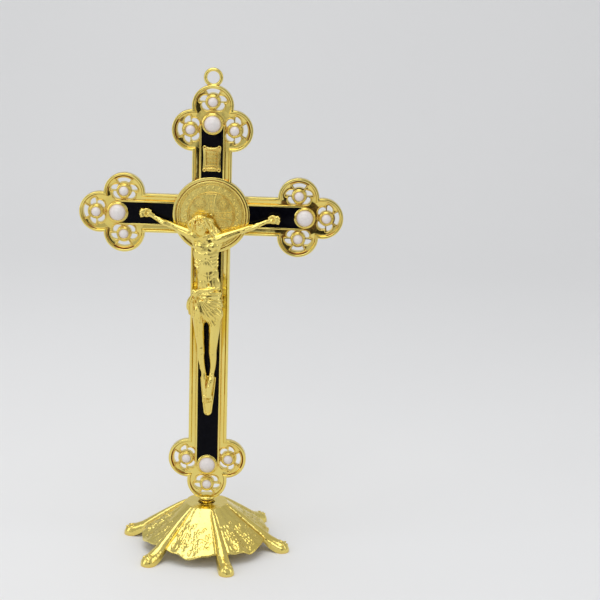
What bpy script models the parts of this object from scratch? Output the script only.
"""Standing altar cross: a cast cross with enamel and half-pearls, screwed into a hollow footed base.

Metres, +Z up. The cross stands in the XZ plane and its front faces -Y. The origin is on the ground, under
the middle of the base, on the axis of the threaded stud.
"""

import math

import bmesh
import bpy
from mathutils import Matrix, Vector

MM = 0.001
GAP = 0.3 * MM  # between pieces that nest in or rest on each other

# Base
TABLE_HEIGHT = 20.4 * MM
TABLE_RADIUS = 9.5 * MM
BASE_WALL = 1.3 * MM
SKIRT_RADIUS = 29.5 * MM
SKIRT_EDGE_HEIGHT = 5.0 * MM
SKIRT_WAVE = 0.6 * MM
LEG_COUNT = 6
FIRST_LEG_ANGLE = math.radians(-11.5)
LEG_REACH = 39.5 * MM
FOOT_WIDTH = 7.6 * MM
FOOT_HEIGHT = 4.6 * MM
LEG_WIDTH_AT_TABLE = 2.6 * MM

# Screw joint
STUD_DIAMETER = 4.8 * MM
STUD_BELOW_NUT = 1.5 * MM
COLLAR_STEP = 0.43 * MM  # the collar stands out this far round the stud
COLLAR_BELOW_TABLE = 0.4 * MM
SPIGOT_DIAMETER = 3.8 * MM
SPIGOT_LENGTH = 1.7 * MM
BOSS_TOP_RADIUS = 4.2 * MM
BOSS_LOW_RADIUS = 3.2 * MM
BOSS_DROP = 0.3 * MM  # below the bottom lobe
BOSS_HEIGHT = 2.2 * MM
NUT_FLATS = 8.0 * MM
NUT_HEIGHT = 4.0 * MM
NUT_SOCKET_WALL = 1.5 * MM
TABLE_HOLE_CLEARANCE = 0.97 * MM  # wide hole round the collar
LOBE_OVER_TABLE = 1.5 * MM

# Cross, front view
POST_REACH = 116.6 * MM  # from the medal's centre to the bottom large pearl
ARM_REACH = 41.1 * MM
TOP_REACH = 40.2 * MM
ARM_WIDTH = 17.3 * MM
DISC_RADIUS = 17.0 * MM
LOBE_RADIUS = 9.07 * MM
OUTER_LOBE = 7.85 * MM  # beyond the large pearl, along the arm
SIDE_LOBE_BACK = 2.9 * MM
SIDE_LOBE_OUT = 8.6 * MM
RIM_WIDTH = 1.0 * MM
ENAMEL_WIDTH = 9.3 * MM
ENAMEL_BORDER = 0.8 * MM

# Cross, depths in front of the middle plane
PLATE_THICKNESS = 3.0 * MM
CHANNEL_DEPTH = 1.1 * MM
ENAMEL_SUNK = 0.3 * MM
ENAMEL_THICKNESS = 0.9 * MM
FRONT = PLATE_THICKNESS / 2

# Pearls
LARGE_PEARL = 7.3 * MM
SMALL_PEARL = 4.2 * MM
LARGE_BEZEL_WALL = 0.8 * MM
SMALL_BEZEL_WALL = 0.4 * MM
PEARL_SEAT_DEPTH = 0.9 * MM
OUTER_PEARL = 9.5 * MM
SIDE_PEARL_BACK = 2.73 * MM
SIDE_PEARL_OUT = 9.57 * MM

# Pierced flower round each small pearl: a slot outwards, and round openings as (outwards, aside, radius)
SLOT_OFFSET = 1.2 * MM
SLOT_WIDTH = 1.5 * MM
SLOT_SPREAD = math.radians(30)
SIDE_PETAL = (0.9 * MM, 4.5 * MM, 0.95 * MM)
INNER_PETAL = (-3.0 * MM, 3.3 * MM, 1.05 * MM)

# Medal, scroll, ring
MEDAL_RING_WIDTH = 1.5 * MM
MEDAL_RIM = 0.9 * MM
MEDAL_THICKNESS = 1.3 * MM
MEDAL_FIELD_SUNK = 0.4 * MM
MEDAL_PROUD = 0.2 * MM
SCROLL_WIDTH = 8.0 * MM
SCROLL_HEIGHT = 11.6 * MM
SCROLL_MIDDLE = 25.3 * MM  # above the medal's centre
SCROLL_THICKNESS = 0.8 * MM
SCROLL_ROLL_RADIUS = 0.85 * MM
RING_OUTER_RADIUS = 4.2 * MM
RING_EYE_RADIUS = 2.65 * MM
RING_THICKNESS = 2.0 * MM
RING_SUNK = 1.1 * MM

# Figure and footrest, heights below the medal's centre
FIGURE_TOE = 85.0 * MM
FOOTREST_TOP = 73.4 * MM
FOOTREST_LENGTH = 18.8 * MM
FOOTREST_WIDTH = 7.0 * MM
FOOTREST_TIP_WIDTH = 3.7 * MM
FOOTREST_THICKNESS = 1.6 * MM
FIGURE_VOXEL = 0.45 * MM
FIGURE_FACES = 1500

# Places that follow from the sizes
LOBE_BOTTOM = TABLE_HEIGHT + LOBE_OVER_TABLE
CENTRE_HEIGHT = LOBE_BOTTOM + LOBE_RADIUS + OUTER_LOBE + POST_REACH
COLLAR_RADIUS = STUD_DIAMETER / 2 + COLLAR_STEP
HOLE_RADIUS = COLLAR_RADIUS + TABLE_HOLE_CLEARANCE
NUT_TOP = TABLE_HEIGHT - BASE_WALL - GAP
NUT_BOTTOM = NUT_TOP - NUT_HEIGHT
MEDAL_RADIUS = DISC_RADIUS - MEDAL_RING_WIDTH - GAP
CENTRE = Vector((0.0, 0.0, CENTRE_HEIGHT))
ARMS = {
    "top": (Vector((0, 0, 1)), TOP_REACH),
    "left": (Vector((-1, 0, 0)), ARM_REACH),
    "right": (Vector((1, 0, 0)), ARM_REACH),
    "post": (Vector((0, 0, -1)), POST_REACH),
}


# Scene, materials and small helpers

def clear_scene():
    for obj in list(bpy.data.objects):
        bpy.data.objects.remove(obj, do_unlink=True)


def material(name, colour, metallic, roughness):
    made = bpy.data.materials.new(name)
    made.use_nodes = True
    shader = made.node_tree.nodes["Principled BSDF"]
    shader.inputs["Base Color"].default_value = (*colour, 1)
    shader.inputs["Metallic"].default_value = metallic
    shader.inputs["Roughness"].default_value = roughness
    return made


def gold(name):
    return material(name, (0.83, 0.64, 0.17), 1, 0.18)


def link(name, mesh, made_of=None):
    obj = bpy.data.objects.new(name, mesh)
    bpy.context.scene.collection.objects.link(obj)
    if made_of:
        mesh.materials.append(made_of)
    return obj


def finish(bm, name, made_of=None, smooth=True):
    bmesh.ops.remove_doubles(bm, verts=bm.verts, dist=1e-7)
    bmesh.ops.recalc_face_normals(bm, faces=bm.faces)
    mesh = bpy.data.meshes.new(name)
    bm.to_mesh(mesh)
    bm.free()
    if smooth:
        mesh.shade_smooth()
        mesh.set_sharp_from_angle(angle=math.radians(35))
    return link(name, mesh, made_of)


def as_cutter(obj):
    obj.hide_render = True
    obj.display_type = "WIRE"
    return obj


def boolean(obj, other, operation, solver="EXACT"):
    """Adds a live Boolean. The other object becomes a helper that the build leaves out."""
    modifier = obj.modifiers.new(f"{operation.lower()} {other.name}", "BOOLEAN")
    modifier.operation = operation
    modifier.object = as_cutter(other)
    modifier.solver = solver
    return obj


def frame_of(along):
    """(along, side) in the plane of the cross, the side a quarter turn to the left as seen from the front."""
    return along, Vector((-along.z, 0, along.x))


def place(along, a, b):
    """The point a out along an arm and b to its side, on the middle plane."""
    out, side = frame_of(along)
    return CENTRE + out * a + side * b


def arc(centre, radius, start, end, steps):
    """Points on a circle in (a, b), from one angle to another, both ends included."""
    return [
        (
            centre[0] + radius * math.cos(start + (end - start) * i / steps),
            centre[1] + radius * math.sin(start + (end - start) * i / steps),
        )
        for i in range(steps + 1)
    ]


def circle(radius, steps, centre=(0, 0), turn=0.0):
    return arc(centre, radius, turn, turn + math.tau, steps)[:-1]


def rod(name, radius, low, high, steps):
    return turned(name, [(0, low), (radius, low), (radius, high), (0, high)], steps)


def slab(bm, points, front, back):
    """Extrudes an outline of world points between two depths, which count from the middle to the front."""
    face = bm.faces.new([bm.verts.new(Vector((p.x, -back, p.z))) for p in points])
    grown = bmesh.ops.extrude_face_region(bm, geom=[face])["geom"]
    moved = [v for v in grown if isinstance(v, bmesh.types.BMVert)]
    bmesh.ops.translate(bm, verts=moved, vec=Vector((0, back - front, 0)))
    bmesh.ops.recalc_face_normals(bm, faces=bm.faces)


def plate(name, outlines, front, back, made_of=None):
    bm = bmesh.new()
    for points in outlines:
        slab(bm, points, front, back)
    return finish(bm, name, made_of)


def on_arm(along, points):
    return [place(along, a, b) for a, b in points]


def turned(name, profile, steps, made_of=None):
    """Spins (radius, height) points round the stud's axis. The first and last lie on the axis."""
    bm = bmesh.new()
    verts = [bm.verts.new((r, 0, z)) for r, z in profile]
    for low, high in zip(verts, verts[1:]):
        bm.edges.new((low, high))
    bmesh.ops.spin(
        bm, geom=bm.verts[:] + bm.edges[:], axis=(0, 0, 1), cent=(0, 0, 0),
        angle=math.tau, steps=steps, use_merge=True,
    )
    return finish(bm, name, made_of)


def loft(bm, rings, closed=False):
    """Skins rings of equal count, and caps the ends unless the last ring meets the first."""
    made = [[bm.verts.new(p) for p in ring] for ring in rings]
    pairs = list(zip(made, made[1:])) + ([(made[-1], made[0])] if closed else [])
    for near, far in pairs:
        count = len(near)
        for i in range(count):
            j = (i + 1) % count
            bm.faces.new((near[i], near[j], far[j], far[i]))
    if not closed:
        bm.faces.new(made[0])
        bm.faces.new(made[-1])


# Outlines on the cross

def meet(low, high, radius):
    """Where two equal circles cross, on the side away from the arm."""
    middle = ((low[0] + high[0]) / 2, (low[1] + high[1]) / 2)
    step = (high[0] - low[0], high[1] - low[1])
    length = math.hypot(*step)
    rise = math.sqrt(radius**2 - (length / 2) ** 2)
    return middle[0] + step[1] / length * rise, middle[1] - step[0] / length * rise


def angle_at(centre, point):
    return math.atan2(point[1] - centre[1], point[0] - centre[0])


def trefoil_side(reach, inset, steps):
    """The right half of one arm's end in (a, b): along the arm, round the side lobe and half the outer."""
    radius = LOBE_RADIUS - inset
    side = (reach - SIDE_LOBE_BACK, -SIDE_LOBE_OUT)
    outer = (reach + OUTER_LOBE, 0.0)
    edge = ARM_WIDTH / 2 - inset
    corner = math.sqrt((DISC_RADIUS - inset) ** 2 - edge**2)
    join = math.pi + math.asin(max(-1.0, min(1.0, (edge - SIDE_LOBE_OUT) / radius)))
    notch = meet(side, outer, radius)
    on_side = math.tau + angle_at(side, notch)
    on_outer = angle_at(outer, notch)
    return (
        [(corner, -edge)]
        + arc(side, radius, join, on_side, steps)
        + arc(outer, radius, on_outer, 0.0, steps // 2)[1:]
    )


def cross_outline(inset=0.0, steps=8):
    """The whole outline, moved inwards by the inset, in world points."""
    points = []
    for name in ("right", "top", "left", "post"):
        along, reach = ARMS[name]
        near = trefoil_side(reach, inset, steps)
        far = [(a, -b) for a, b in reversed(near[:-1])]
        points += on_arm(along, near + far)
        start = math.atan2(far[-1][1], far[-1][0])
        points += on_arm(along, arc((0, 0), DISC_RADIUS - inset, start, math.pi / 2 - start, 4)[1:-1])
    return points


def pearl_seats():
    """(node name, arm direction, a, b, outward direction in (a, b), is large) of all sixteen pearls."""
    seats = []
    for name, (along, reach) in ARMS.items():
        side_a = reach - SIDE_PEARL_BACK
        seats.append((f"pearl_large_{name}", along, reach, 0.0, 0.0, True))
        seats.append((f"pearl_{name}_outer", along, reach + OUTER_PEARL, 0.0, 0.0, False))
        seats.append((f"pearl_{name}_side_a", along, side_a, SIDE_PEARL_OUT, math.pi / 2, False))
        seats.append((f"pearl_{name}_side_b", along, side_a, -SIDE_PEARL_OUT, -math.pi / 2, False))
    return seats


def pearl_radius(large):
    return (LARGE_PEARL if large else SMALL_PEARL) / 2


def bezel_radius(large):
    return pearl_radius(large) + GAP + (LARGE_BEZEL_WALL if large else SMALL_BEZEL_WALL)


def enamel_outline(reach, half_width, from_disc, from_pearl):
    """A field along an arm, hollowed at its ends round the medal's ring and round the large bezel."""
    disc = DISC_RADIUS + from_disc
    bezel = bezel_radius(True) + from_pearl
    at_disc = math.asin(half_width / disc)
    half_bezel = min(half_width, bezel * 0.999)
    at_bezel = math.asin(half_bezel / bezel)
    near = arc((0, 0), disc, at_disc, -at_disc, 6)
    far = arc((reach, 0), bezel, math.pi + at_bezel, math.pi - at_bezel, 6)
    if half_width > half_bezel:
        far = [(far[0][0], -half_width)] + far + [(far[-1][0], half_width)]
    return near + far


def petal_outlines():
    """The five openings of a flower round a small pearl, in (a, b), with the outward direction along +a."""
    inner = bezel_radius(False) + SLOT_OFFSET
    outer = inner + SLOT_WIDTH
    petals = [
        arc((0, 0), outer, -SLOT_SPREAD, SLOT_SPREAD, 4) + arc((0, 0), inner, SLOT_SPREAD, -SLOT_SPREAD, 4)
    ]
    for a, b, size in (SIDE_PETAL, INNER_PETAL):
        petals += [circle(size, 6, (a, sign * b)) for sign in (-1, 1)]
    return petals


def turned_points(points, angle, a, b):
    cos, sin = math.cos(angle), math.sin(angle)
    return [(a + x * cos - y * sin, b + x * sin + y * cos) for x, y in points]


# Cross frame

def raised_islands():
    """What stays at full height inside the sunk channel: bezels, enamel borders and the medal's ring."""
    over = PLATE_THICKNESS
    bands = [
        on_arm(along, [(0, -half), (reach, -half), (reach, half), (0, half)])
        for along, reach in ARMS.values()
        for half in (ENAMEL_WIDTH / 2 + ENAMEL_BORDER,)
    ]
    rounds = [on_arm(Vector((1, 0, 0)), circle(DISC_RADIUS, 40))]
    for _, along, a, b, _, large in pearl_seats():
        rounds.append(on_arm(along, circle(bezel_radius(large), 16 if large else 12, (a, b))))
    island = plate("islands", [bands[0]], over, -over)
    for i, outline in enumerate(bands[1:] + rounds):
        boolean(island, plate(f"island_{i}", [outline], over, -over), "UNION", "MANIFOLD")
    return island


def sunk(frame, name, outlines, floor):
    """Cuts outlines into the front of the casting, down to a floor."""
    boolean(frame, plate(name, outlines, FRONT + MM, floor), "DIFFERENCE", "MANIFOLD")


def cross_frame():
    """The casting. Its flush faces leave cracks with the exact solver, so it uses the manifold one."""
    frame = plate("cross_frame", [cross_outline()], FRONT, -FRONT, gold("gold_cross"))
    channel = plate("channel", [cross_outline(RIM_WIDTH)], FRONT + MM, FRONT - CHANNEL_DEPTH)
    boolean(channel, raised_islands(), "DIFFERENCE", "MANIFOLD")
    boolean(frame, channel, "DIFFERENCE", "MANIFOLD")

    enamel_floor = FRONT - ENAMEL_SUNK - ENAMEL_THICKNESS - GAP
    pockets = [
        on_arm(along, enamel_outline(reach, ENAMEL_WIDTH / 2 + GAP, 0.0, 0.0))
        for along, reach in ARMS.values()
    ]
    sunk(frame, "enamel_pockets", pockets, enamel_floor)

    seats, petals = [], []
    for _, along, a, b, outward, large in pearl_seats():
        seats.append(on_arm(along, circle(pearl_radius(large) + GAP, 16 if large else 12, (a, b), 0.1)))
        if not large:
            petals += [on_arm(along, turned_points(p, outward, a, b)) for p in petal_outlines()]
    sunk(frame, "pearl_seats", seats, FRONT - PEARL_SEAT_DEPTH)
    sunk(frame, "petals", petals, -FRONT - MM)

    seat = on_arm(Vector((1, 0, 0)), circle(MEDAL_RADIUS + GAP, 40))
    sunk(frame, "medal_seat", [seat], FRONT + MEDAL_PROUD - MEDAL_THICKNESS - GAP)

    boolean(frame, hanging_ring(), "UNION", "MANIFOLD")
    boolean(frame, stud_boss(), "UNION", "MANIFOLD")
    hole_top = LOBE_BOTTOM - BOSS_DROP + SPIGOT_LENGTH + GAP
    hole_low = LOBE_BOTTOM - BOSS_DROP - MM
    hole_radius = SPIGOT_DIAMETER / 2 + GAP
    boolean(frame, rod("spigot_hole", hole_radius, hole_low, hole_top, 20), "DIFFERENCE", "MANIFOLD")
    return frame


def hanging_ring():
    top_lobe = TOP_REACH + OUTER_LOBE + LOBE_RADIUS
    centre = (top_lobe + RING_OUTER_RADIUS - RING_SUNK, 0)
    along = ARMS["top"][0]
    half = RING_THICKNESS / 2
    ring = plate("hanging_ring", [on_arm(along, circle(RING_OUTER_RADIUS, 20, centre))], half, -half)
    eye = plate("eye", [on_arm(along, circle(RING_EYE_RADIUS, 20, centre))], FRONT, -FRONT)
    return boolean(ring, eye, "DIFFERENCE")


def stud_boss():
    low = LOBE_BOTTOM - BOSS_DROP
    top = low + BOSS_HEIGHT
    return turned("boss", [(0, low), (BOSS_LOW_RADIUS, low), (BOSS_TOP_RADIUS, top), (0, top)], 24)


# Pieces on the cross

def enamel(name):
    along, reach = ARMS[name]
    outline = enamel_outline(reach, ENAMEL_WIDTH / 2, GAP, GAP)
    front = FRONT - ENAMEL_SUNK
    black = material(f"enamel_{name}", (0.01, 0.01, 0.012), 0, 0.08)
    return plate(f"enamel_{name}", [on_arm(along, outline)], front, front - ENAMEL_THICKNESS, black)


def half_pearl(name, along, a, b, large):
    """A flat-backed dome. Its profile is a quarter circle pulled a little flat."""
    radius = pearl_radius(large)
    height = radius * 0.78
    sides, steps = (16, 3) if large else (12, 2)
    back = FRONT - PEARL_SEAT_DEPTH + GAP
    skirt = 0.5 * MM
    bm = bmesh.new()
    rings = []
    for depth, r in [(back, radius)] + [
        (back + skirt + height * math.sin(t), radius * math.cos(t))
        for t in (math.pi / 2 * i / steps for i in range(steps))
    ]:
        rings.append([p + Vector((0, -depth, 0)) for p in on_arm(along, circle(r, sides, (a, b)))])
    loft(bm, rings)
    top = [f for f in bm.faces if len(f.verts) == sides][-1]
    poked = bmesh.ops.poke(bm, faces=[top])["verts"]
    for vert in poked:
        vert.co.y = -(back + skirt + height)
    pearl = material(name, (0.9, 0.88, 0.85), 0, 0.2)
    return finish(bm, name, pearl)


def medal():
    """A round piece with a raised rim round a sunk field."""
    front = FRONT + MEDAL_PROUD
    back = front - MEDAL_THICKNESS
    middle = Vector((1, 0, 0))
    made = plate("medal", [on_arm(middle, circle(MEDAL_RADIUS, 40))], front, back, gold("gold_medal"))
    field = on_arm(middle, circle(MEDAL_RADIUS - MEDAL_RIM, 40))
    return boolean(made, plate("medal_field", [field], front + MM, front - MEDAL_FIELD_SUNK), "DIFFERENCE")


def title_scroll():
    """A sheet with a roll along its top and bottom edges, lying on the enamel."""
    back = FRONT - ENAMEL_SUNK + GAP
    half_w = SCROLL_WIDTH / 2
    half_h = SCROLL_HEIGHT / 2 - SCROLL_ROLL_RADIUS
    up = ARMS["top"][0]
    waist = 0.4 * MM
    right = [(half_h, -half_w), (0, -half_w + waist), (-half_h, -half_w)]
    outline = [(SCROLL_MIDDLE + a, b) for a, b in right + [(a, -b) for a, b in reversed(right)]]
    sheet = plate("title_scroll", [on_arm(up, outline)], back + SCROLL_THICKNESS, back, gold("gold_scroll"))
    for sign in (-1, 1):
        bm = bmesh.new()
        bmesh.ops.create_cone(
            bm, cap_ends=True, segments=12, radius1=SCROLL_ROLL_RADIUS, radius2=SCROLL_ROLL_RADIUS,
            depth=SCROLL_WIDTH, matrix=Matrix.Rotation(math.pi / 2, 4, "Y"),
        )
        middle = place(up, SCROLL_MIDDLE + sign * half_h, 0)
        bmesh.ops.translate(bm, verts=bm.verts, vec=middle + Vector((0, -(back + SCROLL_ROLL_RADIUS), 0)))
        boolean(sheet, finish(bm, f"scroll_roll_{sign}"), "UNION")
    return sheet


def footrest():
    back = FRONT - ENAMEL_SUNK + GAP
    down = ARMS["post"][0]
    tip = FOOTREST_TIP_WIDTH / 2
    end = FOOTREST_TOP + FOOTREST_LENGTH - tip
    outline = [(FOOTREST_TOP, FOOTREST_WIDTH / 2), (FOOTREST_TOP, -FOOTREST_WIDTH / 2)]
    outline += arc((end, 0), tip, -math.pi / 2, math.pi / 2, 8)
    bm = bmesh.new()
    slab(bm, on_arm(down, outline), back + FOOTREST_THICKNESS, back)
    front = [f for f in bm.faces if f.normal.y < -0.9]
    edges = list({e for f in front for e in f.edges})
    bmesh.ops.bevel(
        bm, geom=edges, offset=0.35 * MM, segments=1, profile=0.5, affect="EDGES", material=-1,
    )
    return finish(bm, "footrest", gold("gold_footrest"))


# Figure

def blob(bm, centre, radii):
    bmesh.ops.create_icosphere(
        bm, subdivisions=2, radius=1,
        matrix=Matrix.Translation(Vector(centre) * MM) @ Matrix.Diagonal((*(Vector(radii) * MM), 1)),
    )


def limb(bm, joints, steps=7):
    """A chain of overlapping balls through (x, depth, z, radius) points, in millimetres."""
    for near, far in zip(joints, joints[1:]):
        for i in range(steps + 1):
            x, depth, z, radius = (n + (f - n) * i / steps for n, f in zip(near, far))
            blob(bm, (x, -depth, z), (radius, radius, radius))


def corpus():
    """The cast figure: arms spread, head leaning to its right, a cloth knotted on its hip, feet together.

    Places are in millimetres from the medal's centre, x to the viewer's right and depth towards the front.
    """
    bm = bmesh.new()
    # trunk
    blob(bm, (-2.0, -4.9, -9.8), (6.0, 3.0, 4.4))
    blob(bm, (-1.7, -5.3, -14.5), (5.7, 3.5, 6.2))
    blob(bm, (-1.4, -4.9, -21.0), (4.9, 3.0, 6.0))
    blob(bm, (-0.9, -4.7, -28.0), (4.5, 2.8, 5.0))
    # loincloth
    blob(bm, (-1.2, -5.0, -35.0), (6.6, 3.4, 4.4))
    blob(bm, (-1.0, -5.2, -41.0), (7.4, 3.6, 6.2))
    blob(bm, (1.6, -5.4, -45.5), (4.8, 3.3, 4.6))
    limb(bm, [(-7.2, 5.6, -33.8, 1.9), (-8.2, 4.8, -39.0, 1.8), (-7.9, 4.3, -45.0, 1.4)])
    limb(bm, [(-6.4, 5.6, -41.0, 1.5), (-4.9, 5.2, -50.0, 1.1), (-4.6, 4.6, -56.0, 0.7)])
    # arms and hands
    limb(bm, [(-7.0, 4.6, -9.0, 2.4), (-11.0, 4.4, -7.0, 1.9), (-18.0, 4.0, -4.2, 1.5),
              (-25.2, 3.5, -1.2, 1.1), (-28.6, 3.3, 0.1, 1.5)])
    limb(bm, [(3.0, 4.6, -10.2, 2.4), (6.5, 4.4, -8.4, 1.9), (14.5, 4.0, -5.2, 1.5),
              (23.0, 3.5, -2.3, 1.1), (26.8, 3.3, -0.2, 1.5)])
    # neck, head and hair
    limb(bm, [(-3.4, 5.6, -7.6, 2.0), (-4.5, 6.4, -4.6, 2.2)])
    blob(bm, (-4.8, -6.6, -3.2), (2.7, 2.7, 3.6))
    blob(bm, (-4.6, -5.9, -1.9), (3.6, 3.0, 3.4))
    limb(bm, [(-1.9, 5.8, -2.0, 1.5), (-0.6, 5.8, -5.8, 1.3), (0.4, 5.9, -9.0, 1.0)])
    # legs and feet
    limb(bm, [(-4.2, 5.0, -44.0, 2.9), (-3.9, 5.2, -52.0, 2.3), (-3.5, 5.6, -60.3, 1.75),
              (-2.9, 4.9, -65.0, 1.6), (-1.5, 4.7, -72.6, 1.15), (-1.3, 5.3, -75.0, 1.3),
              (-1.1, 5.0, -80.0, 1.3), (-0.8, 4.6, -FIGURE_TOE / MM + 1.0, 1.0)])
    limb(bm, [(3.6, 5.0, -44.0, 2.9), (3.4, 5.2, -52.0, 2.3), (2.8, 5.6, -60.3, 1.75),
              (2.5, 4.9, -65.0, 1.6), (1.6, 4.7, -72.6, 1.2), (1.4, 5.3, -75.0, 1.3),
              (1.2, 5.0, -80.0, 1.3), (1.0, 4.6, -FIGURE_TOE / MM + 1.0, 1.0)])
    bmesh.ops.translate(bm, verts=bm.verts, vec=CENTRE)
    figure = finish(bm, "corpus", gold("gold_corpus"))
    remesh = figure.modifiers.new("one skin", "REMESH")
    remesh.mode = "VOXEL"
    remesh.voxel_size = FIGURE_VOXEL
    thin = figure.modifiers.new("fewer faces", "DECIMATE")
    thin.ratio = figure_ratio(figure)
    # flat back, cast against a plane, and the hollow that takes the footrest
    back = FRONT + GAP
    room = 60 * MM
    behind = [(-room, -room), (2 * room, -room), (2 * room, room), (-room, room)]
    boolean(figure, plate("behind_figure", [on_arm(ARMS["post"][0], behind)], back, -room), "DIFFERENCE")
    half = FOOTREST_WIDTH / 2 + GAP
    tongue = [(FOOTREST_TOP - GAP, half), (FOOTREST_TOP - GAP, -half), (2 * room, -half), (2 * room, half)]
    front = FRONT - ENAMEL_SUNK + GAP + FOOTREST_THICKNESS + GAP
    return boolean(figure, plate("footrest_room", [on_arm(ARMS["post"][0], tongue)], front, 0), "DIFFERENCE")


def figure_ratio(figure):
    """The share of the remeshed faces to keep, so that the figure ends near its face count."""
    graph = bpy.context.evaluated_depsgraph_get()
    graph.update()
    figure.modifiers["fewer faces"].ratio = 1.0
    bpy.context.view_layer.update()
    evaluated = figure.evaluated_get(bpy.context.evaluated_depsgraph_get())
    mesh = evaluated.to_mesh()
    mesh.calc_loop_triangles()
    count = len(mesh.loop_triangles)
    evaluated.to_mesh_clear()
    return min(1.0, FIGURE_FACES / count)


# Stud, nut and base

def threaded_stud():
    """Spigot in the cross, collar, and the thread's outer diameter down through the nut."""
    boss_low = LOBE_BOTTOM - BOSS_DROP
    collar_top = boss_low - GAP
    collar_low = TABLE_HEIGHT - COLLAR_BELOW_TABLE
    low = NUT_BOTTOM - STUD_BELOW_NUT
    spigot, thread = SPIGOT_DIAMETER / 2, STUD_DIAMETER / 2
    chamfer = 0.5 * MM
    profile = [
        (0, low), (thread - chamfer, low), (thread, low + chamfer), (thread, collar_low),
        (COLLAR_RADIUS, collar_low), (COLLAR_RADIUS, collar_top), (spigot, collar_top),
        (spigot, boss_low + SPIGOT_LENGTH), (0, boss_low + SPIGOT_LENGTH),
    ]
    return turned("threaded_stud", profile, 24, gold("gold_stud"))


def hexagon(flats, low, high, name, made_of=None):
    bm = bmesh.new()
    bmesh.ops.create_cone(
        bm, cap_ends=True, segments=6, radius1=flats / math.sqrt(3), radius2=flats / math.sqrt(3),
        depth=high - low, matrix=Matrix.Translation((0, 0, (low + high) / 2)),
    )
    return finish(bm, name, made_of)


def captive_nut():
    steel = material("nut_steel", (0.55, 0.55, 0.52), 1, 0.3)
    nut = hexagon(NUT_FLATS, NUT_BOTTOM, NUT_TOP, "captive_nut", steel)
    bore = STUD_DIAMETER / 2 + GAP
    low, high = NUT_BOTTOM - MM, NUT_TOP + MM
    return boolean(nut, rod("nut_bore", bore, low, high, 24), "DIFFERENCE")


def skirt_profile(angle):
    """One closed section of the skirt's wall at an angle: out along the top, round the edge, back below."""
    turn = (angle - FIRST_LEG_ANGLE) * LEG_COUNT
    sag = (1 - math.cos(turn)) / 2  # 0 on a leg, 1 midway between two
    fold = math.cos(turn * 3)
    edge_r = SKIRT_RADIUS - 1.2 * MM * (1 - sag)
    edge_z = SKIRT_EDGE_HEIGHT + 1.8 * MM * (1 - sag)
    rows = 5
    outside = [(HOLE_RADIUS, TABLE_HEIGHT), (TABLE_RADIUS, TABLE_HEIGHT)]
    for i in range(1, rows + 1):
        t = i / rows
        r = TABLE_RADIUS + (edge_r - TABLE_RADIUS) * t
        z = TABLE_HEIGHT + (edge_z - TABLE_HEIGHT) * (t ** 0.92)
        outside.append((r, z + SKIRT_WAVE * fold * t))
    inside = [(max(HOLE_RADIUS, r - BASE_WALL * 0.55), z - BASE_WALL) for r, z in outside]
    inside[-1] = (outside[-1][0] - BASE_WALL * 0.4, outside[-1][1] - BASE_WALL)
    section = outside + list(reversed(inside))
    return [Vector((r * math.cos(angle), r * math.sin(angle), z)) for r, z in section]


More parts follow.
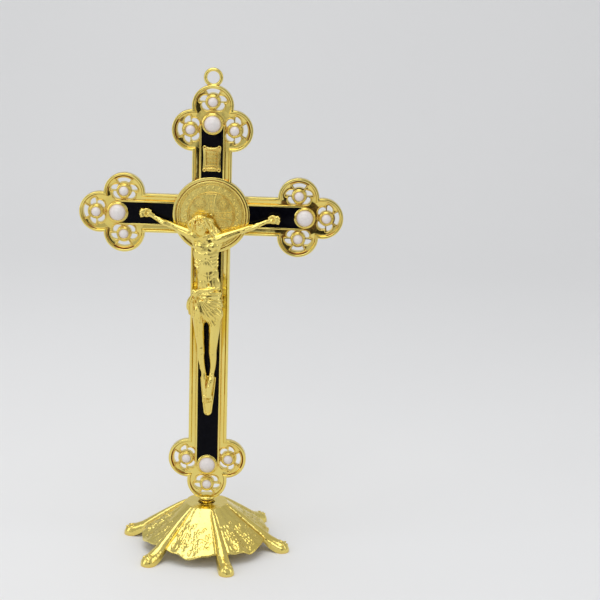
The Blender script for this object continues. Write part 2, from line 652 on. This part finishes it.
def leg(name, angle):
    """A rib from the table's edge down to a rounded foot with a flat sole."""
    foot_r = LEG_REACH - FOOT_WIDTH / 2
    stations = [  # radius, top height, half width, depth under the top
        (TABLE_RADIUS - 1.2 * MM, TABLE_HEIGHT - 0.2 * MM, LEG_WIDTH_AT_TABLE / 2, 1.2 * MM),
        (TABLE_RADIUS + 1.5 * MM, TABLE_HEIGHT - 0.6 * MM, LEG_WIDTH_AT_TABLE / 2, 2.2 * MM),
        (SKIRT_RADIUS * 0.62, TABLE_HEIGHT * 0.73, LEG_WIDTH_AT_TABLE * 0.72, 2.8 * MM),
        (SKIRT_RADIUS * 0.93, TABLE_HEIGHT * 0.45, LEG_WIDTH_AT_TABLE * 0.98, 3.2 * MM),
        (foot_r - FOOT_WIDTH * 0.62, FOOT_HEIGHT + 1.2 * MM, FOOT_WIDTH * 0.42, FOOT_HEIGHT),
        (foot_r - FOOT_WIDTH * 0.2, FOOT_HEIGHT, FOOT_WIDTH * 0.49, FOOT_HEIGHT),
        (foot_r + FOOT_WIDTH * 0.2, FOOT_HEIGHT - 0.5 * MM, FOOT_WIDTH * 0.47, FOOT_HEIGHT - 0.5 * MM),
        (foot_r + FOOT_WIDTH * 0.42, FOOT_HEIGHT * 0.62, FOOT_WIDTH * 0.33, FOOT_HEIGHT * 0.62),
        (LEG_REACH, FOOT_HEIGHT * 0.25, FOOT_WIDTH * 0.12, FOOT_HEIGHT * 0.25),
    ]
    sides = 8
    rings = []
    for r, top, half, depth in stations:
        low = max(0.0, top - depth)
        turns = [math.pi * i / sides for i in range(sides + 1)]
        ring = [Vector((r, half * math.cos(t), low + (top - low) * math.sin(t) ** 0.7)) for t in turns]
        rings.append(ring)
    bm = bmesh.new()
    loft(bm, rings)
    bmesh.ops.rotate(bm, verts=bm.verts, cent=(0, 0, 0), matrix=Matrix.Rotation(angle, 3, "Z"))
    return finish(bm, name)


def base_skirt():
    bm = bmesh.new()
    steps = 10 * LEG_COUNT
    loft(bm, [skirt_profile(math.tau * i / steps) for i in range(steps)], closed=True)
    base = finish(bm, "base", gold("gold_base"))
    for i in range(LEG_COUNT):
        boolean(base, leg(f"leg_{i}", FIRST_LEG_ANGLE + math.tau * i / LEG_COUNT), "UNION")
    socket_low = NUT_BOTTOM - GAP
    socket_top = TABLE_HEIGHT - BASE_WALL / 2
    socket_radius = (NUT_FLATS + 2 * GAP) / math.sqrt(3) + NUT_SOCKET_WALL
    boolean(base, rod("nut_socket", socket_radius, socket_low, socket_top, 24), "UNION")
    pocket = hexagon(NUT_FLATS + 2 * GAP, socket_low - MM, NUT_TOP + GAP, "nut_pocket")
    boolean(base, pocket, "DIFFERENCE")
    hole = rod("table_hole", HOLE_RADIUS, socket_low - MM, TABLE_HEIGHT + MM, 36)
    return boolean(base, hole, "DIFFERENCE")


def join_to_axis(pieces, axis):
    for piece in pieces:
        piece.parent = axis


def main():
    clear_scene()
    base_skirt()
    captive_nut()
    on_cross = [cross_frame(), medal(), title_scroll(), corpus(), footrest()]
    on_cross += [enamel(name) for name in ARMS]
    on_cross += [half_pearl(name, along, a, b, large) for name, along, a, b, _, large in pearl_seats()]
    axis = bpy.data.objects.new("stud_axis", None)
    bpy.context.scene.collection.objects.link(axis)
    join_to_axis(on_cross + [threaded_stud()], axis)


main()
